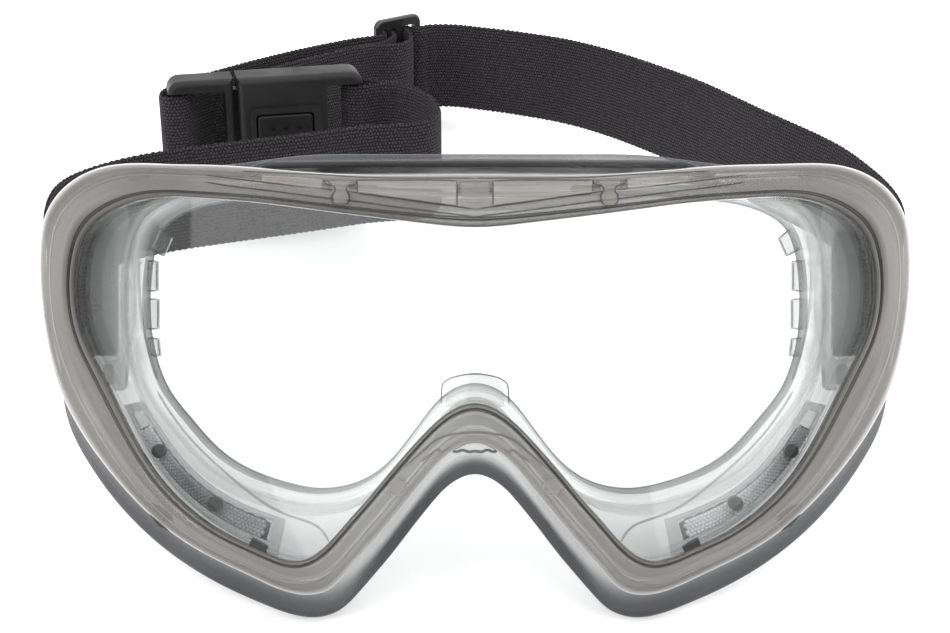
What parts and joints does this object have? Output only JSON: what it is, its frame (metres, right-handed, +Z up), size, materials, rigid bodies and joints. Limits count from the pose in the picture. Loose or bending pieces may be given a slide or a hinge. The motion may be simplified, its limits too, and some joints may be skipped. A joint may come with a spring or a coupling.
{
  "type": "sports protective goggles",
  "caption": "Wrap-round protective goggles with clear lens, translucent rim, soft face seal, vents and an adjustable woven head strap with centre-release buckle.",
  "frame": {"origin": "bottom centre of the bounding box, at the level of the surface that the goggles rest on", "axes": "+Z up, +X to the right seen from in front of the lens, +Y from the lens towards the head strap"},
  "size_m": [0.1884, 0.2388, 0.0938],
  "materials": {
    "rim_plastic": "smoky translucent moulded polycarbonate, softly polished",
    "lens_clear": "clear polycarbonate, polished",
    "soft_clear": "milky clear soft elastomer, satin",
    "gasket_dark": "dark soft gasket",
    "lug_dark": "dark moulded nylon",
    "vent_mesh": "dark vent mesh",
    "vent_cover": "smoky grey moulded plastic, satin",
    "webbing": "black woven elastic webbing",
    "thread": "black sewing thread",
    "buckle_black": "black moulded nylon, fine texture",
    "slider_smoke": "smoky black moulded plastic, half gloss"
  },
  "bodies": {
    "goggles": {"front_bezel": "rim_plastic", "lens": "lens_clear", "lens_gasket": "gasket_dark", "lens_lugs_upper": "lug_dark", "lens_lugs_lower": "lug_dark", "brow_posts": "lug_dark", "nose_pegs": "lug_dark", "brow_clip": "lug_dark", "nose_tab": "soft_clear", "soft_body": "soft_clear", "brow_vent_mesh": "vent_mesh", "brow_vent_cover": "vent_cover", "lower_vent_mesh_right": "vent_mesh", "lower_vent_mesh_left": "vent_mesh", "lower_vent_cover_right": "vent_cover", "lower_vent_cover_left": "vent_cover", "vent_pegs": "lug_dark", "strap_bracket_right": "rim_plastic", "strap_bracket_left": "rim_plastic", "strap_bar_right": "rim_plastic", "strap_bar_left": "rim_plastic", "short_strap": "webbing", "long_strap": "webbing", "strap_free_span": "webbing", "strap_strand_back": "webbing", "strap_strand_front": "webbing", "bar_tack_buckle": "thread", "bar_tack_anchor_left": "thread", "bar_tack_anchor_right": "thread", "buckle_socket": "buckle_black"},
    "buckle_plug_half": {"buckle_plug": "buckle_black", "plug_strap_loop": "webbing"},
    "release_latch": {"release_button": "buckle_black"},
    "slider": {"strap_slider": "slider_smoke", "strap_weave": "webbing", "slider_end_loop": "webbing", "bar_tack_slider": "thread"}
  },
  "joints": [
    {"name": "plug_pull", "type": "slide", "parent": "goggles", "child": "buckle_plug_half", "axis": [-0.9757, -0.2146, 0.0449], "range_m": [0, 0.025], "deforming": ["strap_strand_back"]},
    {"name": "release_press", "type": "slide", "parent": "goggles", "child": "release_latch", "axis": [-0.2193, 0.955, -0.1997], "range_m": [0, 0.0024], "stiffness_N_per_m": 1200},
    {"name": "slider_adjust", "type": "slide", "parent": "goggles", "child": "slider", "axis": [0.7659, 0.6293, -0.1316], "range_m": [-0.008, 0.008], "deforming": ["strap_free_span", "strap_strand_front"]}
  ]
}
